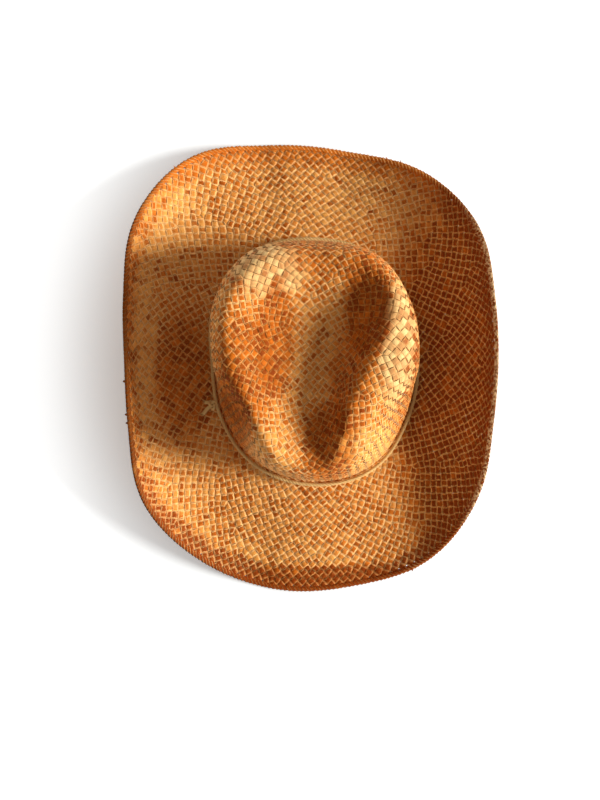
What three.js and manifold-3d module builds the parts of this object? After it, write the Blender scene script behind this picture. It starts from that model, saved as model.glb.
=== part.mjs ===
// A straw cowboy hat at rest on a table, in millimetres, +Z up.
// The hat faces -Y, its right side is towards +X as seen from above with the front below, and
// the origin lies on the table under the middle of the bounding box. The body is woven of flat
// straws and shaped: a crown with a teardrop crease and a pinched front, and a brim that dips at
// front and back and rolls up at both sides. A whipped bead finishes the brim, and a thin cord is
// knotted round the foot of the crown.

import * as THREE from "three";
import Module from "manifold-3d";

// Driving dimensions.
const WALL = 2; // two layers of straw
const GAP = 0.3; // between pieces that touch
const SECTORS = 72; // round the hat
const WALL_RINGS = 8; // up the side of the crown
const TOP_RINGS = 11; // over its top
const BRIM_RINGS = 9; // root to edge
const WALL_SHARE = 0.82; // of the crown's height, where the shoulder starts
const CREASE_POWER = 2.8; // higher is a flatter floor and steeper sides
const EDGE_REST = 3.4; // lowest edge of the brim, where the bead lies on the table
const BEAD_RADIUS = 2.3; // whipped edge, centre to flat
const BEAD_GAP = 0.5; // to the brim, as the section of the bead stands upright
const CORD_RADIUS = 1.6;
const CORD_STAND = 0.8; // the cord stands a little off the crown
const BAND_HEIGHT = 3.6; // middle of the cord above the foot of the crown
const FOOT_HEIGHT = { front: 26, side: 32 }; // foot of the crown above the table
const ROOT_SLOPE = { front: -16, side: -2 }; // brim where it leaves the crown, degrees

// The crown every 30 degrees, anticlockwise from the right side. foot: its outside at the brim.
// lean: how far the shoulder stands inside the foot. top: height of the uncreased crown. square:
// superellipse power of its profile, higher for a squarer shoulder.
const CROWN_SECTIONS = [
  { angle: 0, foot: 84, lean: 2.5, top: 103, square: 6.5 },
  { angle: 30, foot: 89, lean: 1, top: 103, square: 6.5 },
  { angle: 60, foot: 99, lean: 3, top: 102, square: 5.5 },
  { angle: 90, foot: 100, lean: 9, top: 100, square: 4.6 },
  { angle: 120, foot: 101, lean: 3, top: 101, square: 6 },
  { angle: 150, foot: 91, lean: 3, top: 101, square: 10 },
  { angle: 180, foot: 80, lean: 3, top: 101, square: 10 },
  { angle: 210, foot: 85, lean: 7.5, top: 100, square: 10 },
  { angle: 240, foot: 94, lean: 8, top: 99, square: 9 },
  { angle: 270, foot: 98, lean: 8, top: 98, square: 6 },
  { angle: 300, foot: 98, lean: 8, top: 98, square: 4.6 },
  { angle: 330, foot: 88, lean: 4.5, top: 101, square: 5 },
];

// The teardrop crease from front to back. along: Y from the crown's axis. valley: X of its lowest
// line. depth: below the uncreased top. left, right: its width each side of the valley.
const CREASE_SECTIONS = [
  { along: -92, valley: 0, depth: 0, left: 22, right: 16 },
  { along: -74, valley: 0, depth: 14, left: 33, right: 17 },
  { along: -54, valley: 3, depth: 20, left: 48, right: 18 },
  { along: -32, valley: 5, depth: 24, left: 63, right: 23 },
  { along: -6, valley: 9, depth: 26, left: 72, right: 30 },
  { along: 18, valley: 13, depth: 28, left: 82, right: 39 },
  { along: 44, valley: 15, depth: 27, left: 86, right: 51 },
  { along: 62, valley: 20, depth: 22, left: 81, right: 50 },
  { along: 78, valley: 24, depth: 10, left: 64, right: 42 },
  { along: 94, valley: 24, depth: 0, left: 56, right: 36 },
];

// The two finger pinches in the front. height: of the middle, as a share of the crown's height.
const PINCHES = [
  { angle: 216, height: 0.8, depth: 11, halfAngle: 33, halfHeight: 0.72 },
  { angle: 326, height: 0.84, depth: 12, halfAngle: 32, halfHeight: 0.72 },
];

// The brim every 20 degrees. reach: from the crown's axis to the edge. height: of the edge above
// the table. lip: the slope at the edge in degrees, up positive.
const BRIM_SECTIONS = [
  { angle: 0, reach: 142, height: 76, lip: 84 },
  { angle: 20, reach: 149, height: 71, lip: 78 },
  { angle: 40, reach: 169, height: 50, lip: 54 },
  { angle: 60, reach: 179, height: 23, lip: 24 },
  { angle: 80, reach: 178, height: 4, lip: -4 },
  { angle: 100, reach: 184, height: 1, lip: -6 },
  { angle: 120, reach: 195, height: 18, lip: 18 },
  { angle: 140, reach: 182, height: 45, lip: 52 },
  { angle: 160, reach: 156, height: 68, lip: 76 },
  { angle: 180, reach: 145, height: 76, lip: 84 },
  { angle: 200, reach: 152, height: 68, lip: 76 },
  { angle: 220, reach: 175, height: 40, lip: 48 },
  { angle: 240, reach: 185, height: 14, lip: 15 },
  { angle: 260, reach: 189, height: 1, lip: -6 },
  { angle: 280, reach: 187, height: 1, lip: -6 },
  { angle: 300, reach: 187, height: 13, lip: 12 },
  { angle: 320, reach: 170, height: 40, lip: 48 },
  { angle: 340, reach: 148, height: 67, lip: 76 },
];

// The knot of the cord, on the left side: half sizes of its body, and of the strand wrapped over.
const KNOT = { angle: 202, along: 3.6, out: 2.6, up: 2.9, wrap: 1.3 };
// Its two flat tails. heading: in plan, from straight out. drop: from the knot to the tip.
const TAILS = [
  { length: 14, heading: 30, drop: 3.2, halfWidth: 1.6, halfThickness: 0.7 },
  { length: 6.5, heading: -34, drop: 1.2, halfWidth: 1.4, halfThickness: 0.7 },
];

const radians = THREE.MathUtils.degToRad;
const wasm = await Module();
wasm.setup();

// A smooth curve through four evenly spaced values, between the middle two.
function blend(before, from, to, after, share) {
  const s2 = share * share;
  const s3 = s2 * share;
  const leave = (s3 - 2 * s2 + share) * ((to - before) / 2);
  const arrive = (s3 - s2) * ((after - from) / 2);
  return (2 * s3 - 3 * s2 + 1) * from + leave + (3 * s2 - 2 * s3) * to + arrive;
}

// One column of a table whose rows are evenly spaced round the hat.
function around(rows, column, angle) {
  const place = (((angle / 360) % 1) + 1) * rows.length;
  const row = Math.floor(place);
  const pick = (k) => rows[(row + k + rows.length) % rows.length][column];
  return blend(pick(-1), pick(0), pick(1), pick(2), place - row);
}

// One column of the crease table, held at both ends.
function crease(column, y) {
  const last = CREASE_SECTIONS.length - 1;
  const place = THREE.MathUtils.clamp(y, CREASE_SECTIONS[0].along, CREASE_SECTIONS[last].along);
  const row = Math.max(0, CREASE_SECTIONS.findIndex((section) => section.along >= place) - 1);
  const pick = (k) => CREASE_SECTIONS[THREE.MathUtils.clamp(row + k, 0, last)];
  const share = (place - pick(0).along) / (pick(1).along - pick(0).along);
  return blend(pick(-1)[column], pick(0)[column], pick(1)[column], pick(2)[column], share);
}

const bell = (x, power = 2) => (Math.abs(x) < 1 ? (1 - Math.abs(x) ** power) ** 2 : 0);

function creaseDepth(x, y) {
  const aside = x - crease("valley", y);
  return crease("depth", y) * bell(aside / crease(aside < 0 ? "left" : "right", y), CREASE_POWER);
}

// The front's value at the front and back of the hat, the side's at its sides.
function frontToSide(values, angle) {
  return THREE.MathUtils.lerp(values.front, values.side, Math.cos(radians(angle)) ** 2);
}

const polar = (angle, radius, height) =>
  new THREE.Vector3(radius * Math.cos(radians(angle)), radius * Math.sin(radians(angle)), height);

const MEAN_TOP = CROWN_SECTIONS.reduce((sum, row) => sum + row.top, 0) / CROWN_SECTIONS.length;

// A point on the outside of the crown. inward: share of the radius. upward: share of the height.
function crownPoint(angle, inward, upward) {
  const lean = around(CROWN_SECTIONS, "lean", angle) * upward;
  let radius = inward * (around(CROWN_SECTIONS, "foot", angle) - lean);
  for (const pinch of PINCHES) {
    const aside = ((angle - pinch.angle + 540) % 360) - 180;
    const above = (upward - pinch.height) / pinch.halfHeight;
    radius -= pinch.depth * bell(aside / pinch.halfAngle) * bell(above) * inward;
  }
  const top = THREE.MathUtils.lerp(MEAN_TOP, around(CROWN_SECTIONS, "top", angle), inward);
  const foot = THREE.MathUtils.lerp(frontToSide(FOOT_HEIGHT, angle), FOOT_HEIGHT.front, upward);
  const point = polar(angle, radius, GAP + foot + top * upward);
  point.z -= creaseDepth(point.x, point.y) * upward ** 6;
  return point;
}

// A point on the top of the brim. out: 0 under the wall of the crown, 1 at the edge.
function brimPoint(angle, out) {
  const root = around(CROWN_SECTIONS, "foot", angle) - WALL;
  const rootHeight = frontToSide(FOOT_HEIGHT, angle);
  const run = around(BRIM_SECTIONS, "reach", angle) - root;
  const rise = Math.max(EDGE_REST, around(BRIM_SECTIONS, "height", angle)) - rootHeight;
  const chord = Math.hypot(run, rise);
  const rootSlope = radians(frontToSide(ROOT_SLOPE, angle));
  const lipSlope = radians(around(BRIM_SECTIONS, "lip", angle));
  const o2 = out * out;
  const o3 = o2 * out;
  const curve = (span, leave, arrive) =>
    (3 * o2 - 2 * o3) * span + (o3 - 2 * o2 + out) * chord * leave + (o3 - o2) * chord * arrive;
  const radius = root + curve(run, Math.cos(rootSlope), Math.cos(lipSlope));
  const height = rootHeight + curve(rise, Math.sin(rootSlope), Math.sin(lipSlope));
  return polar(angle, radius, height);
}

function meshGeometry(points, index) {
  const geometry = new THREE.BufferGeometry().setFromPoints(points);
  geometry.setIndex(index);
  geometry.computeVertexNormals();
  return geometry;
}

const ANGLES = Array.from({ length: SECTORS }, (_, s) => (s * 360) / SECTORS);

// The triangles of a surface whose rows each run once round the hat, closed over by a pole if
// there is one. start: index of the first point.
function skin(rows, pole, start = 0) {
  const index = [];
  const at = (row, s) => start + row * SECTORS + (s % SECTORS);
  for (let s = 0; s < SECTORS; s += 1) {
    for (let row = 0; row < rows.length - 1; row += 1) {
      index.push(at(row, s), at(row, s + 1), at(row + 1, s + 1));
      index.push(at(row, s), at(row + 1, s + 1), at(row + 1, s));
    }
    if (pole) index.push(at(rows.length - 1, s), at(rows.length - 1, s + 1), at(rows.length, 0));
  }
  return index;
}

// A closed shell: the surface given, the same moved by the thickness against its normals, and a
// strip along each open rim.
function shell(rows, pole, thickness) {
  const points = pole ? [...rows.flat(), pole] : rows.flat();
  const front = skin(rows, pole);
  const normals = meshGeometry(points, front).getAttribute("normal");
  const backs = points.map((point, k) => {
    return new THREE.Vector3().fromBufferAttribute(normals, k).multiplyScalar(-thickness).add(point);
  });
  const back = skin(rows, pole, points.length);
  for (let k = 0; k < back.length; k += 3) [back[k], back[k + 1]] = [back[k + 1], back[k]];
  const index = [...front, ...back];
  const strip = (row, turned) => {
    for (let s = 0; s < SECTORS; s += 1) {
      const a = row * SECTORS + s;
      const b = row * SECTORS + ((s + 1) % SECTORS);
      const [p, q] = turned ? [b, a] : [a, b];
      index.push(p, p + points.length, q + points.length, p, q + points.length, q);
    }
  };
  strip(0, false);
  if (!pole) strip(rows.length - 1, true);
  return meshGeometry([...points, ...backs], index);
}

// The crown stands on the root of the brim.
function crown() {
  const across = (angle, share) => {
    const square = around(CROWN_SECTIONS, "square", angle);
    return (1 - share ** square) ** (1 / square);
  };
  const rows = [];
  for (let ring = 0; ring < WALL_RINGS; ring += 1) {
    const upward = (WALL_SHARE * ring) / WALL_RINGS;
    rows.push(ANGLES.map((angle) => crownPoint(angle, across(angle, upward), upward)));
  }
  for (let ring = TOP_RINGS; ring > 0; ring -= 1) {
    const share = ring / TOP_RINGS;
    const inward = (angle) => across(angle, WALL_SHARE) * share;
    rows.push(ANGLES.map((angle) => crownPoint(angle, inward(angle), across(angle, inward(angle)))));
  }
  return shell(rows, crownPoint(0, 0, 1), WALL);
}

function brim() {
  const rows = [];
  for (let ring = BRIM_RINGS; ring >= 0; ring -= 1) {
    rows.push(ANGLES.map((angle) => brimPoint(angle, ring / BRIM_RINGS)));
  }
  return shell(rows, null, WALL);
}

// A ring round the hat whose section is a regular polygon standing upright, closed on itself or
// open between two angles.
function ringTube(centreAt, radius, sides, from = 0, to = 360) {
  const closed = to - from === 360;
  const steps = closed ? SECTORS : SECTORS + 1;
  const points = [];
  const index = [];
  for (let k = 0; k < steps; k += 1) {
    const angle = from + ((to - from) * k) / SECTORS;
    for (let side = 0; side < sides; side += 1) {
      const turn = ((side + 0.5) * 2 * Math.PI) / sides;
      const corner = radius / Math.cos(Math.PI / sides);
      points.push(centreAt(angle).add(polar(angle, corner * Math.cos(turn), corner * Math.sin(turn))));
    }
  }
  for (let k = 0; k < SECTORS; k += 1) {
    for (let side = 0; side < sides; side += 1) {
      const next = (side + 1) % sides;
      const here = k * sides;
      const there = ((k + 1) % steps) * sides;
      index.push(here + side, there + next, here + next, here + side, there + side, there + next);
    }
  }
  for (let side = 1; !closed && side < sides - 1; side += 1) {
    const end = SECTORS * sides;
    index.push(0, side, side + 1, end, end + side + 1, end + side);
  }
  return meshGeometry(points, index);
}

// The middle of the whipped bead, just past the edge of the brim and never below the table.
function beadCentre(angle) {
  const edge = brimPoint(angle, 1);
  const outward = edge.clone().sub(brimPoint(angle, 0.99)).normalize();
  const sideways = polar(angle + 90, 1, 0);
  const upward = new THREE.Vector3().crossVectors(outward, sideways);
  edge.addScaledVector(upward, -WALL / 2).addScaledVector(outward, BEAD_RADIUS + BEAD_GAP);
  return edge.setZ(Math.max(edge.z, BEAD_RADIUS));
}

function cordCentre(angle) {
  return crownPoint(angle, 1, 0).add(polar(angle, CORD_RADIUS + CORD_STAND, BAND_HEIGHT));
}

// An ellipsoid of few facets.
function lump(radii, turn, centre) {
  return wasm.Manifold.sphere(1, 16)
    .scale([radii.x, radii.y, radii.z])
    .rotate([turn.x, turn.y, turn.z])
    .translate([centre.x, centre.y, centre.z]);
}

// The knot: a body in line with the cord, a strand wrapped over it, and two flat tails.
function knot() {
  const centre = cordCentre(KNOT.angle).add(polar(KNOT.angle, KNOT.out - CORD_RADIUS, 0));
  const turn = KNOT.angle - 90;
  const body = lump(
    new THREE.Vector3(KNOT.along, KNOT.out, KNOT.up),
    new THREE.Vector3(0, 0, turn),
    centre,
  );
  const wrap = lump(
    new THREE.Vector3(KNOT.wrap, KNOT.out + 0.8, KNOT.up + 1.2),
    new THREE.Vector3(0, 28, turn),
    centre,
  );
  const tails = TAILS.map((tail) => {
    const flat = wasm.Manifold.cube([tail.length, 2 * tail.halfWidth, 2 * tail.halfThickness])
      .translate([0, -tail.halfWidth, -tail.halfThickness])
      .rotate([0, THREE.MathUtils.radToDeg(Math.asin(tail.drop / tail.length)), 0])
      .rotate([0, 0, KNOT.angle + tail.heading]);
    return flat.translate([centre.x, centre.y, centre.z]);
  });
  const whole = wasm.Manifold.union([body, wrap, ...tails]).getMesh();
  const geometry = new THREE.BufferGeometry();
  geometry.setAttribute("position", new THREE.Float32BufferAttribute(whole.vertProperties, 3));
  geometry.setIndex([...whole.triVerts]);
  geometry.computeVertexNormals();
  return geometry;
}

const hat = new THREE.Group();
hat.name = "straw_cowboy_hat";
function add(name, geometry, color) {
  const mesh = new THREE.Mesh(geometry, new THREE.MeshStandardMaterial({ color, roughness: 0.8 }));
  mesh.name = name;
  hat.add(mesh);
}

const halfKnot = THREE.MathUtils.radToDeg((KNOT.along + GAP) / CROWN_SECTIONS[6].foot);
const cordSpan = [KNOT.angle + halfKnot, KNOT.angle - halfKnot + 360];
add("crown", crown(), new THREE.Color(0.75, 0.42, 0.18));
add("brim", brim(), new THREE.Color(0.7, 0.36, 0.14));
add("brim_edge", ringTube(beadCentre, BEAD_RADIUS, 8), new THREE.Color(0.5, 0.2, 0.07));
add("hat_cord", ringTube(cordCentre, CORD_RADIUS, 8, ...cordSpan), new THREE.Color(0.72, 0.6, 0.35));
add("cord_knot", knot(), new THREE.Color(0.72, 0.6, 0.35));

const box = new THREE.Box3().setFromObject(hat);
const middle = box.getCenter(new THREE.Vector3());
hat.children.forEach((mesh) => mesh.geometry.translate(-middle.x, -middle.y, -box.min.z));

export default hat;
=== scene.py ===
# A straw cowboy hat: woven crown and brim, whipped brim edge, and a thin knotted cord.
import math
import random

import bmesh
import bpy
import numpy as np
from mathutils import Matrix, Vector
from mathutils.bvhtree import BVHTree
from mathutils.kdtree import KDTree


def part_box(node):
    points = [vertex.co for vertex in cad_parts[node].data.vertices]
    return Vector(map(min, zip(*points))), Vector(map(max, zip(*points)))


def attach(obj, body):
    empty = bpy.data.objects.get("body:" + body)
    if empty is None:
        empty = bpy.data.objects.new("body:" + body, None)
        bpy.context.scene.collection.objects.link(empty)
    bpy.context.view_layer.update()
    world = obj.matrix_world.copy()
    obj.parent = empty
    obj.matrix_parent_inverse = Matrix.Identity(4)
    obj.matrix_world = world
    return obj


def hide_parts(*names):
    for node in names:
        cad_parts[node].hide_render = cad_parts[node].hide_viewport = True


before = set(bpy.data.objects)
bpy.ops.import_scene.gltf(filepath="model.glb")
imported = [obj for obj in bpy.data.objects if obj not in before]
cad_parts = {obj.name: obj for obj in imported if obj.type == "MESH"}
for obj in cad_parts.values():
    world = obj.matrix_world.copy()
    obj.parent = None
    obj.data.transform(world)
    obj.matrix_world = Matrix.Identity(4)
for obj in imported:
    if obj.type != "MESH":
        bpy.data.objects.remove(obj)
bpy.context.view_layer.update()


# The woven body. Crown and brim are one cloth of flat straws about five millimetres wide, laid
# slantwise both ways, one over and one under. It starts as a square plait in the middle of the
# crown, and straws are added all the way out as it grows. Wet, it was pulled over a block.
STRAW_PITCH = 0.0051
CELL_DIAGONAL = STRAW_PITCH * math.sqrt(2)
HALF_WALL = 0.0010
PAST_EDGE = 0.0040
RIM_ANGLE = math.radians(60)
CROWN_RIM_BELOW = 0.045
BRIM_ROOT_REACH = 0.045


def islands_of(mesh):
    """The faces of a mesh, in groups that hang together."""
    islands, seen = [], set()
    for face in mesh.faces:
        if face in seen:
            continue
        island, front = [], [face]
        seen.add(face)
        while front:
            here = front.pop()
            island.append(here)
            for other in (face for edge in here.edges for face in edge.link_faces):
                if other not in seen:
                    seen.add(other)
                    front.append(other)
        islands.append(island)
    return islands


def sheet_rows(node, wants_top):
    """One side of a moulded shell, its outside or its top, as rows of points out from a rim."""
    mesh = bmesh.new()
    mesh.from_mesh(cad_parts[node].data)
    bmesh.ops.remove_doubles(mesh, verts=mesh.verts, dist=1e-5)
    sharp = lambda e: e.is_manifold and e.calc_face_angle() > RIM_ANGLE
    low = lambda e: max(v.co.z for v in e.verts) < CROWN_RIM_BELOW
    rims = [e for e in mesh.edges if sharp(e) and (wants_top or low(e))]
    bmesh.ops.split_edges(mesh, edges=rims)
    up = lambda island: sum(f.normal.z * f.calc_area() for f in island)
    area = lambda island: sum(f.calc_area() for f in island)
    both_sides = sorted(islands_of(mesh), key=area)[-2:]
    side = max(both_sides, key=up if wants_top else area)
    verts = {v for f in side for v in f.verts}
    rim = [v for v in verts if v.is_boundary]
    reach = lambda v: Vector((v.co.x, v.co.y)).length
    root = min(reach(v) for v in rim) + BRIM_ROOT_REACH
    row = [v for v in rim if reach(v) < root] if wants_top else rim
    rows, used = [], set()
    while row:
        rows.append([v.co.copy() for v in row])
        used.update(row)
        row = list({e.other_vert(v) for v in row for e in v.link_edges} & verts - used)
    mesh.free()
    return rows


crown_rows = sheet_rows("crown", False)
brim_rows = sheet_rows("brim", True)
axis = crown_rows[-1][0]
by_angle = lambda v: math.atan2(v.y - axis.y, v.x - axis.x) % math.tau
turn_rows = [sorted(row, key=by_angle) for row in crown_rows[-2::-1] + brim_rows[1:]]
grid = np.array([[axis] * len(turn_rows[0])] + turn_rows)
foot_row = len(crown_rows) - 1
sectors = grid.shape[1]


def unit(vectors):
    """Vectors brought to a length of one."""
    return vectors / (np.linalg.norm(vectors, axis=-1, keepdims=True) + 1e-12)


def lengths_along(line):
    """How far along a polyline each of its points is."""
    return np.concatenate([[0], np.cumsum(np.linalg.norm(np.diff(line, axis=0), axis=1))])


def read_along(line, lengths, wanted):
    """Points of a polyline, or values on it, read at the wanted lengths."""
    return np.stack([np.interp(wanted, lengths, line[:, k]) for k in range(3)], 1)


def turn_of(places):
    """The direction of places from the hat's axis."""
    return np.arctan2(places[:, 1] - axis.y, places[:, 0] - axis.x)


def eased(points, steps, closed):
    """Points on the smooth curve through the first axis of an array of points."""
    count = len(points)
    spots = np.arange(0, count if closed else count - 1 + 1e-9, 1 / steps)
    first = np.floor(spots).astype(int)
    share = (spots - first).reshape(-1, *[1] * (points.ndim - 1))
    pick = lambda k: points[(first + k) % count if closed else np.clip(first + k, 0, count - 1)]
    before, start, end, after = (pick(k) for k in (-1, 0, 1, 2))
    return (
        start
        + 0.5 * share * (end - before)
        + share**2 * (before - 2.5 * start + 2 * end - 0.5 * after)
        + share**3 * (1.5 * (start - end) + 0.5 * (after - before))
    )


def evened(line, count, softness):
    """A polyline resampled evenly, with its corners softened over a length."""
    lengths = lengths_along(line)
    even = read_along(line, lengths, np.linspace(0, lengths[-1], count))
    reach = max(1, round(softness * count / lengths[-1]))
    kernel = np.ones(2 * reach + 1) / (2 * reach + 1)
    for _ in range(3):
        padded = np.pad(even, ((reach, reach), (0, 0)), mode="reflect", reflect_type="odd")
        even = np.stack([np.convolve(padded[:, k], kernel, "valid") for k in range(3)], 1)
    return even


# The middle of the cloth: lines from the middle of the top to a little past the brim's edge.
AROUND = 288
LINE_POINTS = 400
LINE_STEPS = 8
SOFT_CORNER = 0.0022
lines, foot_places = [], []
for sector in range(sectors):
    line = eased(grid[:, sector], LINE_STEPS, False)
    lip = line[-1] - line[-4]
    line = np.vstack([line, line[-1] + lip / np.linalg.norm(lip) * PAST_EDGE])
    lines.append(evened(line, LINE_POINTS, SOFT_CORNER))
    foot_places.append(np.argmin(np.linalg.norm(lines[-1] - grid[foot_row, sector], axis=1)))
skin = eased(np.array(lines), AROUND // sectors, True)
foot_place = eased(np.array(foot_places, float)[:, None], AROUND // sectors, True)[:, 0]
skin[:, 0] = skin[:, 0].mean(0)
steps_along = np.gradient(skin, axis=1)
steps_round = np.roll(skin, -1, 0) - np.roll(skin, 1, 0)
out = np.cross(steps_round, steps_along)
out[:, 0] = out[:, 1].mean(0)
out /= -np.linalg.norm(out, axis=2, keepdims=True) + 1e-12
out *= -1 if out[0, LINE_POINTS // 3, 2] < 0 else 1
skin = skin - out * HALF_WALL
ring_ids = np.arange(AROUND * LINE_POINTS).reshape(AROUND, LINE_POINTS)
next_ids = np.roll(ring_ids, -1, 0)
faces = np.stack([ring_ids[:, :-1], next_ids[:, :-1], next_ids[:, 1:], ring_ids[:, 1:]], 2)
block = BVHTree.FromPolygons(skin.reshape(-1, 3).tolist(), faces.reshape(-1, 4).tolist())

# How many rings of crossings there are. Each starts half a cell's diagonal out from the last.
line_steps = np.linalg.norm(np.diff(skin, axis=1), axis=2)
whole = line_steps.sum(1)
to_foot = np.array([line_steps[k, : int(foot_place[k])].sum() for k in range(AROUND)])
crown_rings = round(to_foot.mean() / (CELL_DIAGONAL / 2))
brim_rings = round((whole - to_foot).mean() / (CELL_DIAGONAL / 2))
last_ring = crown_rings + brim_rings


def ring_line(ring):
    """The closed line round the hat that a ring of crossings starts on."""
    if ring <= crown_rings:
        place = foot_place * ring / crown_rings
    else:
        place = foot_place + (LINE_POINTS - 1 - foot_place) * (ring - crown_rings) / brim_rings
    low = np.minimum(place.astype(int), LINE_POINTS - 2)
    share = (place - low)[:, None]
    rows = np.arange(AROUND)
    return skin[rows, low] * (1 - share) + skin[rows, low + 1] * share


def spaced(line, count, turn):
    """Points evenly spaced along a closed line, from a place given in turns."""
    loop = np.vstack([line, line[:1]])
    lengths = lengths_along(loop)
    return read_along(loop, lengths, ((np.arange(count) / count + turn) % 1) * lengths[-1])


# Crossings of the straws, ring by ring. From each, two straws go on outward, or three where
# one is added. The first rings are a plain square of plaiting, and later ones widen as needed,
# with the added straws spread round by steps of the golden ratio.
PLAIT_RINGS = 8
GOLDEN_STEP = 0.618034
points, rings, outward = [skin[0, 0]], [[0]], {0: [1, 2, 3, 4]}
turn, golden, middles = 0.125, 0.0, {0, 1, 2, 3}
points += list(spaced(ring_line(1), 4, turn))
rings.append(outward[0])
for ring in range(2, last_ring + 1):
    line = ring_line(ring)
    inner, here = rings[-1], len(points)
    added = set(middles) if ring <= PLAIT_RINGS else set()
    if ring > PLAIT_RINGS:
        round_it = np.linalg.norm(np.roll(line, -1, 0) - line, axis=1).sum()
        more = max(0, round(round_it / CELL_DIAGONAL) - len(inner))
        while len(added) < more:
            golden = (golden + GOLDEN_STEP) % 1
            added.add(int(golden * len(inner)))
    count = len(inner) + len(added)
    place, middles = 0, set()
    ideal, hits = np.zeros((count, 3)), np.zeros(count)
    for k, crossing in enumerate(inner):
        width = 2 if k in added else 1
        ways = [(place + step) % count for step in range(width + 1)]
        if width == 2:
            middles.add(ways[1])
        outward[crossing] = [here + way for way in ways]
        for way in ways:
            ideal[way] += points[crossing]
            hits[way] += 1
        place += width
    rings.append(list(range(here, here + count)))
    new = spaced(line, count, turn)
    off = np.angle(np.exp(1j * (turn_of(ideal / hits[:, None]) - turn_of(new))).mean())
    turn += off / math.tau
    points += list(spaced(line, count, turn))
points = np.array(points)

# Each cell of the weave: its inner, right, outer and left crossing, seen from outside.
cells, cell_ring = [], []
for ring, crossings in enumerate(rings[:-2]):
    for crossing in crossings:
        ways = outward[crossing]
        pairs = list(zip(ways, ways[1:])) + ([(ways[-1], ways[0])] if ring == 0 else [])
        for right, left in pairs:
            cells.append((crossing, right, outward[right][-1], left))
            cell_ring.append(ring)
cells, cell_ring = np.array(cells), np.array(cell_ring)

# The crossings slide over the skin until every cell is as square as it can be.
SLIDES = 140
SLIDE_SHARE = 0.9
loose = np.ones(len(points), bool)
loose[rings[-1]] = False
loose[0] = False
corner_count = np.bincount(cells.ravel(), minlength=len(points))[:, None]
for _ in range(SLIDES):
    inner, right, outer, left = (points[cells[:, k]] for k in range(4))
    middle = (inner + right + outer + left) / 4
    up, across = outer - inner, left - right
    size = (np.linalg.norm(up, axis=1) + np.linalg.norm(across, axis=1)) / 4
    size = ((size + CELL_DIAGONAL / 2) / 2)[:, None]
    facing = unit(np.cross(up, across))
    up = unit(up + np.cross(across, facing))
    across = np.cross(facing, up)
    square = (middle - up * size, middle - across * size, middle + up * size, middle + across * size)
    goal = np.zeros_like(points)
    for corner, place in enumerate(square):
        np.add.at(goal, cells[:, corner], place)
    goal = goal / np.maximum(corner_count, 1)
    moved = points + (goal - points) * SLIDE_SHARE * loose[:, None]
    for k in np.nonzero(loose)[0]:
        moved[k] = block.find_nearest(moved[k])[0]
    points = moved
facing = np.cross(points[cells[:, 2]] - points[cells[:, 0]], points[cells[:, 3]] - points[cells[:, 1]])
normals = np.zeros_like(points)
for corner in range(4):
    np.add.at(normals, cells[:, corner], facing)
normals = unit(normals)

# Each straw passes through a cell from one side to the facing one, over where its neighbours go
# under. A straw is followed from the brim's edge until it comes out at the edge again.
beside = {}
for cell, corners in enumerate(cells):
    for side in range(4):
        pair = frozenset((corners[side], corners[(side + 1) % 4]))
        beside.setdefault(pair, []).append((cell, side))
open_ends = [where[0] for where in beside.values() if len(where) == 1]
followed, straws = set(), []
for start in open_ends + [(cell, side) for cell in range(len(cells)) for side in (0, 1)]:
    if (start[0], start[1] % 2) in followed:
        continue
    straw, step = [], start
    while step and (step[0], step[1] % 2) not in followed:
        followed.add((step[0], step[1] % 2))
        straw.append(step)
        cell, side = step[0], (step[1] + 2) % 4
        pair = frozenset((cells[cell][side], cells[cell][(side + 1) % 4]))
        step = next((other for other in beside[pair] if other[0] != cell), None)
    straws.append(straw)

# No two straws are alike: crossings slip along the skin and off it, and each straw and each of
# its cells has its own width, its own shift sideways in half widths, and its own share of lift.
SLIP, UNEVEN = 0.00016, 0.00010
STRAW_WIDTHS, CELL_WIDTHS = (0.97, 1.03), (0.95, 1.05)
SHIFTS, LIFTS = (-0.07, 0.07), (0.75, 1.2)
FIBRE_SPREAD = 0.3
random.seed(11)
chance = np.random.default_rng(5)
slide = chance.normal(0, SLIP, points.shape)
slide -= normals * (slide * normals).sum(1)[:, None]
slide[rings[-1]] = 0
points = points + slide + normals * chance.normal(0, UNEVEN, (len(points), 1))
edge_line = KDTree(AROUND)
for k, place in enumerate(skin[:, -1]):
    edge_line.insert(place, k)
edge_line.balance()
edge_gap = lambda place: edge_line.find(place)[2] - PAST_EDGE

# A straw's section, dished and thin, has half widths sideways and millimetres up. The stops are
# the places along a cell where it has a section, with the millimetres that it rises there.
STRAW_SECTION = ((-1, 0), (-0.86, 0.28), (0, 0.07), (0.86, 0.28), (1, 0), (0, -0.2))
LIFT = 0.56
CELL_STOPS = ((0.0, 0.0), (0.27, LIFT), (0.73, LIFT), (1.0, 0.0))


def wanted_runs(straw, wanted):
    """The stretches of a straw that lie in wanted cells."""
    runs, run = [], []
    for step in straw:
        if wanted[step[0]]:
            run.append(step)
        elif run:
            runs.append(run)
            run = []
    return runs + ([run] if run else [])


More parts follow.
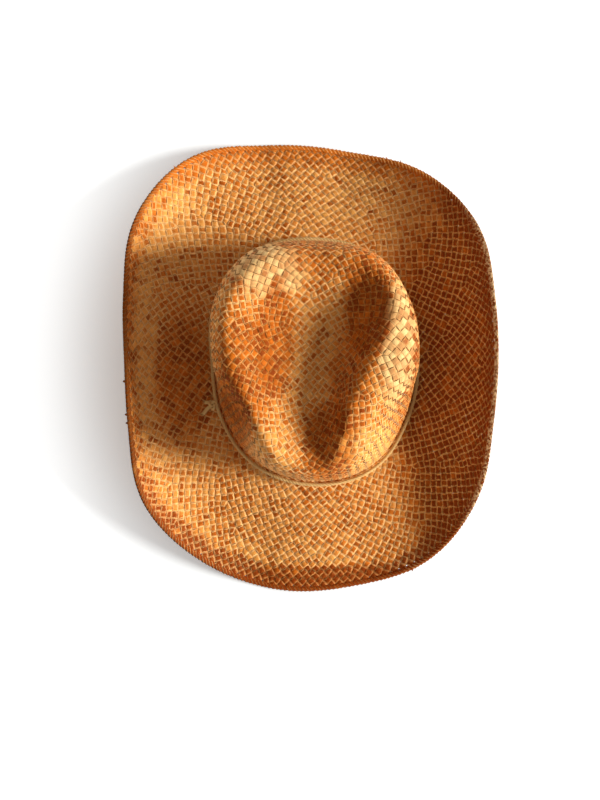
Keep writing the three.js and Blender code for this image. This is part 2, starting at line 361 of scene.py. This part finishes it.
def ribbon(run, wide):
    """The sections of a stretch of straw: three for each cell, and one at its end."""
    path = np.array(run)
    four = cells[path[:, 0]]
    rows = np.arange(len(run))
    pick = lambda k: four[rows, (path[:, 1] + k) % 4]
    # Left and right corners where the straw comes into the cell and where it goes out.
    ends = [points[pick(k)] for k in (0, 1, 3, 2)]
    ups = [normals[pick(k)] for k in (0, 1, 3, 2)]
    over = np.where((cell_ring[path[:, 0]] + path[:, 1]) % 2 == 1, 1.0, -1.0)
    over = over * chance.uniform(*LIFTS, len(run))
    widths = wide * chance.uniform(*CELL_WIDTHS, (len(run) + 1, 3))
    shifts = chance.uniform(*SHIFTS, (len(run) + 1, 3))
    sections = []
    for spot, (along, rise) in enumerate(CELL_STOPS):
        at = slice(1, None) if along == 1 else slice(None, -1)
        row = []
        for u, h in STRAW_SECTION:
            t = ((1 + u * widths[at, spot % 3] + shifts[at, spot % 3]) / 2)[:, None]
            coming = lambda q: (1 - along) * (q[0] * t + q[1] * (1 - t))
            going = lambda q: along * (q[2] * t + q[3] * (1 - t))
            lift = (h + rise * over) / 1000
            up = unit(coming(ups) + going(ups))
            row.append(coming(ends) + going(ends) + up * lift[:, None])
        sections.append(np.stack(row, 1))
    inside = np.stack(sections[:3], 1).reshape(-1, len(STRAW_SECTION), 3)
    return np.concatenate([inside, sections[3][-1:]])


def tube_faces(first, count, sides, closed=False):
    """The faces of a tube of sections, with both ends filled where it is open."""
    faces = []
    for k in range(count if closed else count - 1):
        low, high = first + k * sides, first + (k + 1) % count * sides
        turns = [(j, (j + 1) % sides) for j in range(sides)]
        faces += [(low + j, high + j, high + after, low + after) for j, after in turns]
    if not closed:
        faces.append(tuple(range(first, first + sides)))
        faces.append(tuple(first + (count - 1) * sides + j for j in reversed(range(sides))))
    return faces


def straw_object(name, corners, faces, notes, lays, turned_out=False):
    """An object whose corners note their place on their own straw, and how the straw lies."""
    mesh = bpy.data.meshes.new(name)
    mesh.from_pydata(corners, [], faces)
    for attribute, values in (("straw", notes), ("lay", lays)):
        layer = mesh.attributes.new(attribute, "FLOAT_VECTOR", "POINT")
        layer.data.foreach_set("vector", np.array(values, "f").ravel())
    if turned_out:
        bm = bmesh.new()
        bm.from_mesh(mesh)
        bmesh.ops.recalc_face_normals(bm, faces=bm.faces)
        bm.to_mesh(mesh)
        bm.free()
    mesh.shade_smooth()
    piece = bpy.data.objects.new(name, mesh)
    bpy.context.scene.collection.objects.link(piece)
    return piece


def weave(name, wanted):
    """A mesh of all the straws of the cells that are wanted, each a thin curled ribbon."""
    corners, faces, notes, lays = [], [], [], []
    sides = len(STRAW_SECTION)
    for straw in straws:
        tone, wide = random.random(), random.uniform(*STRAW_WIDTHS)
        begin = random.random() * FIBRE_SPREAD
        for run in wanted_runs(straw, wanted):
            body = ribbon(run, wide)
            middles = body.mean(1)
            length = begin + lengths_along(middles)
            cell_tones = [random.random() for _ in run]
            faces += tube_faces(len(corners), len(body), sides)
            corners += body.reshape(-1, 3).tolist()
            for k, middle in enumerate(middles):
                cell_tone, seam = cell_tones[min(k // 3, len(run) - 1)], float(k % 3 == 0)
                notes += [(u, length[k], tone) for u, _ in STRAW_SECTION]
                lays += [(edge_gap(middle), cell_tone, seam)] * sides
    return straw_object(name, corners, faces, notes, lays)


# The brim's weave is two pieces, parted at a share of its rings, so that neither is too large.
INNER_BRIM = 0.45
on_crown = cell_ring + 1 < crown_rings
at_root = ~on_crown & (cell_ring + 1 < crown_rings + brim_rings * INNER_BRIM)
crown_weave = weave("crown_weave", on_crown)
brim_weave = weave("brim_weave", at_root)
brim_weave_outer = weave("brim_weave_outer", ~on_crown & ~at_root)


class Finish:
    """A material's nodes. node() adds one, and its result takes part in sums."""

    def __init__(self, name):
        self.material = bpy.data.materials.new(name)
        self.material.use_nodes = True
        self.tree = self.material.node_tree
        self.surface = self.tree.nodes["Principled BSDF"]

    def node(self, kind, settings=None, values=None, result=0):
        made = self.tree.nodes.new(kind)
        for key, value in (settings or {}).items():
            setattr(made, key, value)
        for socket, value in (values or {}).items():
            self.give(made.inputs[socket], value)
        return Value(self, made.outputs[result])

    def give(self, socket, value):
        if isinstance(value, Value):
            self.tree.links.new(value.socket, socket)
        else:
            bare_colour = socket.type == "RGBA" and len(value) == 3
            socket.default_value = (*value, 1) if bare_colour else value

    def split(self, vector):
        """The three numbers of a vector."""
        parts = self.node("ShaderNodeSeparateXYZ", None, {0: vector}).socket.node
        return [Value(self, part) for part in parts.outputs]

    def joined(self, first, second, third):
        return self.node("ShaderNodeCombineXYZ", None, {0: first, 1: second, 2: third})

    def place(self):
        """Where a point is on the object, in metres."""
        return self.node("ShaderNodeTexCoord", result=3)

    def noted(self, name):
        """The three numbers that a piece notes at its corners."""
        return self.split(self.node("ShaderNodeAttribute", {"attribute_name": name}, result=1))

    def mix(self, amount, first, second, blend="MIX"):
        settings = {"data_type": "RGBA", "blend_type": blend}
        return self.node("ShaderNodeMix", settings, {0: amount, 6: first, 7: second}, 2)

    def step(self, value, low, high):
        settings = {"interpolation_type": "SMOOTHSTEP"}
        return self.node("ShaderNodeMapRange", settings, {0: value, 1: low, 2: high})

    def noise(self, place, scale, detail=2.0, roughness=0.5):
        values = {"Vector": place, "Scale": scale, "Detail": detail, "Roughness": roughness}
        return self.node("ShaderNodeTexNoise", None, values)

    def bump(self, height, distance, strength):
        values = {"Strength": strength, "Distance": distance, "Height": height}
        return self.node("ShaderNodeBump", None, values)

    def finish(self, **sockets):
        for name, value in sockets.items():
            self.give(self.surface.inputs[name.replace("_", " ")], value)
        return self.material


class Value:
    """One number in a material that varies over the surface."""

    def __init__(self, finish, socket):
        self.finish, self.socket = finish, socket

    def maths(self, operation, first, second):
        return self.finish.node("ShaderNodeMath", {"operation": operation}, {0: first, 1: second})

    __add__ = lambda self, other: self.maths("ADD", self, other)
    __radd__ = lambda self, other: self.maths("ADD", other, self)
    __sub__ = lambda self, other: self.maths("SUBTRACT", self, other)
    __rsub__ = lambda self, other: self.maths("SUBTRACT", other, self)
    __mul__ = lambda self, other: self.maths("MULTIPLY", self, other)
    __rmul__ = lambda self, other: self.maths("MULTIPLY", other, self)
    __truediv__ = lambda self, other: self.maths("DIVIDE", self, other)
    __pow__ = lambda self, other: self.maths("POWER", self, other)
    __abs__ = lambda self: self.maths("ABSOLUTE", self, 0.0)
    least = lambda self, other: self.maths("MINIMUM", self, other)
    most = lambda self, other: self.maths("MAXIMUM", self, other)


# The stain on the body: rust and orange, rubbed on by hand over natural straw. It wore off the
# straws' edges, which show cream. The gaps between the straws are darkest: stain pooled there, with
# painted shade over it.
NATURAL, PALE_NATURAL = (0.70, 0.27, 0.042), (0.92, 0.46, 0.12)
# The first of these colours is painted sunlight, for the brim's rolled-up left edge.
SUNLIT_PAINTED, BLEACHED = (1.00, 0.47, 0.11), (1.00, 0.78, 0.40)
ORANGE, RUST = (0.64, 0.160, 0.011), (0.27, 0.045, 0.003)
# The second of these colours is a painted highlight, for glints on the brim's right side.
CREAM, PAINTED_HIGHLIGHT = (1.00, 0.62, 0.27), (1.00, 0.76, 0.45)
WORN_STAIN, WORN_RIGHT = (0.80, 0.34, 0.080), (1.00, 0.54, 0.18)
# Both dark colours here are painted shade: in the gaps between the straws, over pooled stain, and
# along the brim's left edge.
GAP_SHADE_AND_STAIN, EDGE_SHADE_PAINTED = (0.16, 0.035, 0.004), (0.16, 0.035, 0.006)
DARK_FIBRE, PALE_FIBRE = (0.42, 0.34, 0.25), (1.46, 1.48, 1.46)

straw = Finish("stained_straw")
where = straw.place()
x, y, z = straw.split(where)
across, along, tone = straw.noted("straw")
from_edge, cell_tone, seam = straw.noted("lay")
fibre = straw.noise(straw.joined(across * 5.0, along * 70.0, tone * 91.0), 1.6, 3.0, 0.6)
patch = straw.noise(where, 16.0, 2.0, 0.5)
blotch = straw.noise(where, 90.0, 2.0, 0.6)
rub = straw.noise(where, 420.0, 3.0, 0.7)
fleck = straw.noise(where, 900.0, 2.0, 0.6)


def region(cx, cy, rx, ry):
    """A soft oval seen from above, in metres."""
    far = ((x - cx) / rx) ** 2.0 + ((y - cy) / ry) ** 2.0 + (blotch - 0.5) * 0.9
    return 1.0 - straw.step(far, 0.3, 1.5)


# Where more of the stain was rubbed on, and less: an oval's middle, its half sizes, how much.
# Some of the ovals of more stain also carry painted shade, marked where they stand.
MORE_STAIN_AND_SHADE = (
    (-0.050, -0.006, 0.022, 0.046, 0.6),  # left ridge of the crown
    (0.010, 0.084, 0.040, 0.018, 0.25),  # back of its top
    (-0.026, 0.020, 0.014, 0.046, 0.7),  # inside of the left ridge
    (0.014, -0.060, 0.020, 0.030, 0.8),  # front end of the crease
    # The next two ovals are mostly painted shade on the crease's right slope, over some stain.
    (0.044, 0.046, 0.018, 0.040, 0.9),  # crease's right slope at the back
    (0.030, -0.010, 0.016, 0.040, 0.5),  # crease's right slope at the middle
    # Painted shadow of the crown on the brim beside it, over some stain.
    (-0.102, -0.010, 0.024, 0.055, 0.55),  # brim beside the crown, on the left
    (0.020, -0.180, 0.100, 0.014, 0.6),  # front edge of the brim
    # Painted shade on the crown's left wall.
    (-0.060, -0.040, 0.014, 0.040, 0.4),  # crown's left wall at the front
)
LESS_STAIN = (
    (0.044, -0.066, 0.032, 0.022, 0.6),  # pinch at the front, on the right
    (-0.030, -0.070, 0.020, 0.024, 0.5),  # pinch at the front, on the left
    (-0.120, 0.125, 0.040, 0.040, 0.4),  # brim at the back left
    (-0.115, -0.085, 0.035, 0.040, 0.3),  # brim at the front left
    (-0.030, 0.150, 0.130, 0.050, 0.22),  # back of the brim
    (0.060, 0.150, 0.055, 0.028, 0.2),  # back of the brim, on the right
    (-0.030, -0.150, 0.110, 0.035, 0.12),  # front of the brim
)
right_side = region(0.122, -0.010, 0.054, 0.150)
# The brim's rolled-up left edge gets painted light: less stain and a brighter straw, as if sunlit.
left_roll_painted_light = region(-0.142, 0.005, 0.018, 0.095)
right_ridge = region(0.066, 0.016, 0.018, 0.050)
back_left = region(-0.034, 0.072, 0.028, 0.024)
clean = (right_ridge + back_left * 0.9).least(1.0)
strong = sum((region(*oval) * much for *oval, much in MORE_STAIN_AND_SHADE), right_side * 0.78)
weak = sum((region(*oval) * much for *oval, much in LESS_STAIN), clean * 0.75 + left_roll_painted_light * 0.55)
heavy = strong.least(1.0)
rim = 1.0 - straw.step(from_edge + (patch - 0.5) * 0.012, 0.006, 0.018)
low_rim = rim * (1.0 - straw.step(y, -0.14, -0.02)).most(straw.step(x, 0.08, 0.12) * 0.6)
stain = straw.step(patch * 0.55 + blotch * 0.45, 0.34, 0.60) * 0.5 + 0.52
stain = (stain + strong - weak + rim * 0.6 + (cell_tone - 0.5) * 0.95).least(1.0).most(0.0)

# Natural straw, the stain over it, and pale flecks where it didn't take.
natural = straw.mix(tone * 0.4 + fibre * 0.6, NATURAL, PALE_NATURAL)
# Painted sunlight on the brim's rolled-up left edge.
natural = straw.mix(left_roll_painted_light * 0.6, natural, SUNLIT_PAINTED)
natural = straw.mix(clean * 0.75, natural, BLEACHED)
depth = cell_tone * 0.45 + blotch * 0.9 + heavy * 0.35 + right_side * 0.14 + low_rim * 0.5
colour = straw.mix(stain, natural, straw.mix(straw.step(depth, 0.60, 1.16), ORANGE, RUST))
flecks = straw.step(fleck, 0.50, 0.62) * (0.28 - heavy * 0.10)
colour = straw.mix(flecks, colour, straw.mix(stain, CREAM, NATURAL))

# Bare straw along the straws' edges and across them at their crossings, and the dark gaps, which
# are a little wider on the crown's top: stain pooled in them, with painted shade over it.
ragged = (rub - 0.5) * 1.1 + (fibre - 0.5) * 0.8 - heavy * 0.12
crossing_worn = straw.step(seam + ragged, 0.52, 0.82) * 0.9
bare = straw.step(abs(across) + ragged, 0.52, 0.80).most(crossing_worn)
bare = bare * (1.0 - rim * 0.45) * (1.0 - clean * 0.5)
rubbed = straw.mix(right_side, straw.mix(heavy, CREAM, WORN_STAIN), WORN_RIGHT)
colour = straw.mix(bare * (0.93 - (heavy - right_side).most(0.0) * 0.2), colour, rubbed)
on_top = straw.step(z, 0.045, 0.075)
gap = abs(across) + clean * 0.04 + on_top * 0.03 + (rub - 0.5) * 0.2
# Painted shade in the gaps between the straws, over stain pooled there.
colour = straw.mix(straw.step(gap, 0.92, 0.99) * 0.85, colour, GAP_SHADE_AND_STAIN)

# Painted highlights: pale spots on the corners of the right side's straws, and on the ends along
# that edge, where the low sun would catch them. On the left the edge is darker, a painted shade.
corner = straw.step(abs(across), 0.62, 0.85) * straw.step(seam, 0.55, 0.90)
# Painted glints on the corners of the right side's straws.
painted_glint = corner * right_side * straw.step(rub, 0.42, 0.56)
colour = straw.mix(painted_glint * 0.8, colour, PAINTED_HIGHLIGHT)
on_edge = 1.0 - straw.step(abs(from_edge), 0.0001, 0.0006)
# Painted highlight on the straw ends along the right edge.
edge_highlight_painted = on_edge * straw.step(x, 0.120, 0.140) * straw.step(rub, 0.44, 0.58)
colour = straw.mix(edge_highlight_painted * 0.8, colour, PAINTED_HIGHLIGHT)
# Painted shade along the brim's left edge.
left_edge_painted_shade = on_edge * (1.0 - straw.step(x, -0.142, -0.100))
colour = straw.mix(left_edge_painted_shade * 0.6, colour, EDGE_SHADE_PAINTED)
colour = straw.mix(1.0, colour, straw.mix(fibre, DARK_FIBRE, PALE_FIBRE), "MULTIPLY")
straw_finish = straw.finish(
    Base_Color=colour,
    Roughness=0.50 + fibre * 0.2,
    Normal=straw.bump(fibre, 0.00035, 1.0),
    Specular_IOR_Level=0.06,
)
for piece, node in ((crown_weave, "crown"), (brim_weave, "brim"), (brim_weave_outer, "brim")):
    piece.data.materials.append(straw_finish)
    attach(piece, "root")
    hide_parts(node)

# The edge: the straws' ends are folded back over the brim's edge and held by a flat straw wound
# slantwise round and round them, stained darker, with a few ends that have worked loose.
BEAD_PAST = 0.0026
LIP_POINTS = 14
WHIP_PITCH, WHIP_SLANT = 0.0034, 0.0028
WHIP_OUT, WHIP_UP = 0.0021, 0.0013
WHIP_STEPS = 12
WHIP_WANDER, WHIP_BULGE = 0.00035, 0.05
WHIP_HALF_WIDTH = 0.0017
WHIP_SECTION = ((-1, 0.02), (-0.62, 0.18), (0.1, 0.18), (0.7, 0.30), (1, 0.12), (0, -0.1))
CORE_SHARE, CORE_SIDES = 0.86, 10


def way_along(line):
    """The way that a closed line goes at each of its points."""
    return unit(np.roll(line, -1, 0) - np.roll(line, 1, 0))


def at_length(rows, lengths, length):
    """Rows of a closed line's values, read at lengths along it."""
    return read_along(np.vstack([rows, rows[:1]]), lengths, np.mod(length, lengths[-1]))


def ellipse(half_width, half_height, sides):
    """A section's corners, sideways and up."""
    turns = np.arange(sides) * math.tau / sides
    return [(math.cos(t) * half_width, math.sin(t) * half_height) for t in turns]


def swept(parts, middles, sideways, up, section, closed=False, tone=0.5, taper=None):
    """Adds a section carried along a line: its sideways and upward parts in metres."""
    corners, faces, notes, lays = parts
    count, sides = len(middles), len(section)
    taper = np.ones(count) if taper is None else np.array(taper)
    rows = np.stack([middles + (sideways * u + up * h) * taper[:, None] for u, h in section], 1)
    faces += tube_faces(len(corners), count, sides, closed)
    corners += rows.reshape(-1, 3).tolist()
    wide = max(abs(u) for u, _ in section)
    for length in lengths_along(middles):
        notes += [(u / wide, length, tone) for u, _ in section]
        lays += [(0.0, tone, 0.0)] * sides


lip = unit(skin[:, -1] - skin[:, -LIP_POINTS])
edge_middle = skin[:, -1] - lip * (PAST_EDGE - BEAD_PAST)
edge_way = way_along(edge_middle)
edge_up = unit(np.cross(edge_way, lip))
edge_up *= np.sign((edge_up * out[:, -1]).sum(1))[:, None]
edge_length = lengths_along(np.vstack([edge_middle, edge_middle[:1]]))
whipping = ([], [], [], [])
turns = round(edge_length[-1] / WHIP_PITCH)
pitch = edge_length[-1] / turns
swing = np.arange(turns * WHIP_STEPS) * math.tau / WHIP_STEPS
wander = np.array([random.uniform(-1, 1) for _ in range(turns)])
wander = np.interp(np.arange(turns * WHIP_STEPS) / WHIP_STEPS, np.arange(turns), wander)
place = pitch * swing / math.tau + WHIP_SLANT * np.cos(swing) + wander * WHIP_WANDER
out_part, up_part = np.cos(swing)[:, None], np.sin(swing)[:, None]
lips, ups = at_length(lip, edge_length, place), at_length(edge_up, edge_length, place)
around = (lips * out_part * WHIP_OUT + ups * up_part * WHIP_UP) * (1 + wander * WHIP_BULGE)[:, None]
middles = at_length(edge_middle, edge_length, place) + around
facing = unit(lips * out_part / WHIP_OUT + ups * up_part / WHIP_UP)
sideways = unit(np.cross(facing, way_along(middles)))
whip_straw = [(u * WHIP_HALF_WIDTH, h / 1000) for u, h in WHIP_SECTION]
swept(whipping, middles, sideways, facing, whip_straw, True)
core = [(u * CORE_SHARE, h * CORE_SHARE) for u, h in ellipse(WHIP_OUT, WHIP_UP, CORE_SIDES)]
swept(whipping, edge_middle, lip, edge_up, core, True, tone=0.9)

# Loose ends: three short wide ones that point down on the left side, and the rest here and there.
LEFT_ENDS = ((-0.1487, -0.011), (-0.1487, -0.038), (-0.1487, -0.046))
OTHER_ENDS = 15
END_LENGTH, END_CURL = 0.0034, 0.0008
LEFT_END_HALF, OTHER_END_HALF = 0.0011, 0.0006
END_TAPER = (1, 1, 0.9, 0.6, 0.15)


def loose_end(k, on_left):
    """Adds a straw's end that sticks out of the edge at one of its points."""
    size = 1.0 if on_left else random.uniform(0.6, 1.0)
    lean = edge_way[k] * random.uniform(-0.8, 0.8) + edge_up[k] * random.uniform(-0.2, 0.6)
    heading = unit(lip[k] * 0.3 - edge_up[k]) if on_left else unit(lip[k] + lean)
    root = -edge_up[k] * WHIP_UP if on_left else lip[k] * WHIP_OUT
    spots = np.linspace(0, 1, len(END_TAPER))[:, None]
    line = edge_middle[k] + root * 0.6 + heading * spots * END_LENGTH * size
    line = line + edge_up[k] * (spots**2) * END_CURL
    side = unit(np.cross(heading, lip[k] if on_left else edge_up[k]))
    half = LEFT_END_HALF if on_left else OTHER_END_HALF
    flat = [(-half, 0.0), (0.0, 0.00022), (half, 0.0), (0.0, -0.0001)]
    tone = 1.0 if on_left else random.random()
    swept(whipping, line, side, np.cross(side, heading), flat, tone=tone, taper=END_TAPER)


from_middles = lambda px, py: np.hypot(edge_middle[:, 0] - px, edge_middle[:, 1] - py)
left_places = [int(np.argmin(from_middles(px, py))) for px, py in LEFT_ENDS]
other_places = [random.randrange(AROUND) for _ in range(OTHER_ENDS)]
for k in left_places + other_places:
    loose_end(k, k in left_places)
edge_whipping = straw_object("edge_whipping", *whipping, turned_out=True)
edge_whipping.data.materials.append(straw_finish)
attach(edge_whipping, "root")
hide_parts("brim_edge")

# The cord: three pale yarns twisted together, about 3 mm thick. It lies round the foot of the
# crown, in the corner above the brim, and nothing but its own knot holds it there.
YARN, YARN_OUT, YARN_SIDES = 0.00082, 0.00080, 6
LAY_LENGTH = 0.0085
CORD_PLACES, CORD_BLUR, CORD_STEPS = 96, 0.035, 9
STRAND, PALE_STRAND, SOILED = (0.52, 0.32, 0.10), (0.86, 0.60, 0.26), (0.50, 0.27, 0.07)
solid = np.array([v.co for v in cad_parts["hat_cord"].data.vertices])
solid_turn = turn_of(solid)
cord_line = []
for bearing in np.arange(CORD_PLACES) * math.tau / CORD_PLACES:
    near = np.exp(-((np.angle(np.exp(1j * (solid_turn - bearing)))) / CORD_BLUR) ** 2)
    cord_line.append((solid * near[:, None]).sum(0) / near.sum())
cord_line = eased(np.array(cord_line), CORD_STEPS, True)
cord_way = way_along(cord_line)
cord_up = unit(np.cross(np.cross(cord_way, np.array([0, 0, 1.0])), cord_way))
cord_side = np.cross(cord_way, cord_up)
cord_length = lengths_along(np.vstack([cord_line, cord_line[:1]]))
twists = round(cord_length[-1] / LAY_LENGTH)
lace = ([], [], [], [])
for yarn in range(3):
    wind = cord_length[:-1] / cord_length[-1] * twists * math.tau + yarn * math.tau / 3
    facing = cord_up * np.cos(wind)[:, None] + cord_side * np.sin(wind)[:, None]
    middles = cord_line + facing * YARN_OUT
    sideways = unit(np.cross(way_along(middles), facing))
    swept(lace, middles, sideways, facing, ellipse(YARN, YARN, YARN_SIDES), True, tone=yarn / 3)
crown_cord = straw_object("crown_cord", *lace, turned_out=True)
strand = Finish("pale_cord")
across, along, tone = strand.noted("straw")
hair_place = strand.joined(across * 4.0 + along * 1500.0, along * 160.0, tone * 37.0)
hair = strand.noise(hair_place, 1.2, 3.0, 0.6)
soil = strand.step(strand.noise(strand.place(), 45.0, 3.0, 0.6), 0.50, 0.68)
cord_finish = strand.finish(
    Base_Color=strand.mix(soil * 0.5, strand.mix(hair, STRAND, PALE_STRAND), SOILED),
    Roughness=0.62 + hair * 0.2,
    Normal=strand.bump(hair, 0.0003, 0.6),
)
crown_cord.data.materials.append(cord_finish)
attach(crown_cord, "root")
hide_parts("hat_cord")

# The knot: the cord's ends are tied in an overhand knot on the left, and the two flattened tails
# stick out with their yarns starting to part.
KNOT_INSET_X, KNOT_INSET_Y = 0.0050, 0.0052
KNOT_REACH = (0.00112, 0.00125, 0.00118)
KNOT_STEPS, KNOT_SIDES = 72, 8
KNOT_HALF_WIDTH, KNOT_HALF_HEIGHT = 0.00125, 0.00115
TAILS = (((-0.74, -0.64, -0.16), 0.0098), ((-0.93, 0.30, 0.10), 0.0048))
TAIL_START, TAIL_SAG, TAIL_SWAY = 0.0022, 0.0009, 0.0004
TAIL_SECTION = (
    (-0.0016, 0.0), (-0.0011, 0.00055), (0.0, 0.0004), (0.0011, 0.00055), (0.0016, 0.0), (0.0, -0.0004)
)
TAIL_TAPER = (0.8, 0.9, 1, 1, 1, 1, 1, 1, 1, 1, 0.95, 0.85)
HAIRS = 9
HAIR_SECTION = ((-0.00018, -0.0001), (0.00018, -0.0001), (0, 0.00018))
HAIR_TAPER = (1, 1, 0.9, 0.7, 0.3)
low, high = (np.array(corner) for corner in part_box("cord_knot"))
knot_middle = np.array([high[0] - KNOT_INSET_X, high[1] - KNOT_INSET_Y, (low[2] + high[2]) / 2])
knot = ([], [], [], [])
t = np.arange(KNOT_STEPS) * math.tau / KNOT_STEPS
trefoil = [np.sin(t) + 2 * np.sin(2 * t), np.cos(t) - 2 * np.cos(2 * t), -np.sin(3 * t)]
loop = np.stack(trefoil, 1) * np.array(KNOT_REACH) + knot_middle
way = way_along(loop)
facing = unit(loop - knot_middle)
facing = unit(facing - way * (facing * way).sum(1)[:, None])
strand_section = ellipse(KNOT_HALF_WIDTH, KNOT_HALF_HEIGHT, KNOT_SIDES)
swept(knot, loop, np.cross(way, facing), facing, strand_section, True, tone=0.2)
for heading, size in TAILS:
    heading = unit(np.array(heading))
    side = unit(np.cross(heading, np.array([0, 0, 1.0])))
    over = np.cross(side, heading)
    spots = np.linspace(0, 1, len(TAIL_TAPER))[:, None]
    line = knot_middle + heading * (TAIL_START + spots * size)
    line = line - np.array([0, 0, TAIL_SAG]) * spots**2 + side * TAIL_SWAY * np.sin(spots * 5)
    swept(knot, line, side, over, TAIL_SECTION, tone=0.4, taper=TAIL_TAPER)
    for _ in range(HAIRS):
        start = line[-1] + side * random.uniform(-0.0013, 0.0013) - heading * 0.0005
        bend = heading + side * random.uniform(-0.5, 0.5) + over * random.uniform(-0.3, 0.3)
        reaches = np.linspace(0, 1, len(HAIR_TAPER))[:, None] * random.uniform(0.0012, 0.0028)
        tone = random.random()
        swept(knot, start + bend * reaches, side, over, HAIR_SECTION, tone=tone, taper=HAIR_TAPER)
cord_knot = straw_object("cord_knot_tied", *knot, turned_out=True)
cord_knot.data.materials.append(cord_finish)
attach(cord_knot, "root")
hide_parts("cord_knot")

# The camera looks straight down from above the hat.
camera = bpy.data.objects.new("camera", bpy.data.cameras.new("camera"))
camera.location = (-0.00797, -0.02702, 0.975)
camera.data.lens = 51.507
camera.data.clip_start = 0.01
bpy.context.scene.collection.objects.link(camera)
bpy.context.scene.camera = camera
bpy.context.scene.view_settings.view_transform = "Standard"

# The floor is a plain white sheet that glows softly, a painted light that lifts the sun's shadow on
# it, and the glow fades to a painted shadow under the hat and close round it.
FLOOR_HALF = 8.0
DIM_MIDDLE_X, DIM_HALF_X, DIM_HALF_Y = -0.02, 0.165, 0.22
bm = bmesh.new()
bmesh.ops.create_grid(bm, x_segments=1, y_segments=1, size=FLOOR_HALF)
floor_mesh = bpy.data.meshes.new("floor")
bm.to_mesh(floor_mesh)
bm.free()
floor = bpy.data.objects.new("floor", floor_mesh)
bpy.context.scene.collection.objects.link(floor)
pale = Finish("pale_floor")
x, y, _ = pale.split(pale.place())
far = ((x - DIM_MIDDLE_X) / DIM_HALF_X) ** 2.0 + (y / DIM_HALF_Y) ** 2.0
# Painted shadow: the glow fades on an oval a little larger than the hat's shadow.
glow_and_painted_shadow = pale.step(far, 0.20, 0.55) * (pale.step(far, 0.50, 1.75) * 0.70 + 0.30)
floor_finish = pale.finish(
    Base_Color=(0.76, 0.83, 0.92),
    Roughness=0.9,
    Emission_Color=pale.mix(glow_and_painted_shadow, (0.0, 0.0, 0.0), (0.97, 0.99, 1.0)),
    Emission_Strength=0.78,
)
floor.data.materials.append(floor_finish)

# One low broad light from the right, and a soft warm room.
KEY_TURN, KEY_HEIGHT = math.radians(-5), math.radians(22)
key = bpy.data.objects.new("key", bpy.data.lights.new("key", "SUN"))
level = math.cos(KEY_HEIGHT)
key_way = Vector((level * math.cos(KEY_TURN), level * math.sin(KEY_TURN), math.sin(KEY_HEIGHT)))
key.rotation_euler = key_way.to_track_quat("Z", "Y").to_euler()
key.data.energy, key.data.angle = 5.4, 0.36
key.data.color = (1.0, 0.95, 0.85)
bpy.context.scene.collection.objects.link(key)
world = bpy.data.worlds.new("soft_room")
world.use_nodes = True
room = world.node_tree.nodes["Background"]
room.inputs["Color"].default_value = (1, 0.88, 0.76, 1)
room.inputs["Strength"].default_value = 0.35
bpy.context.scene.world = world
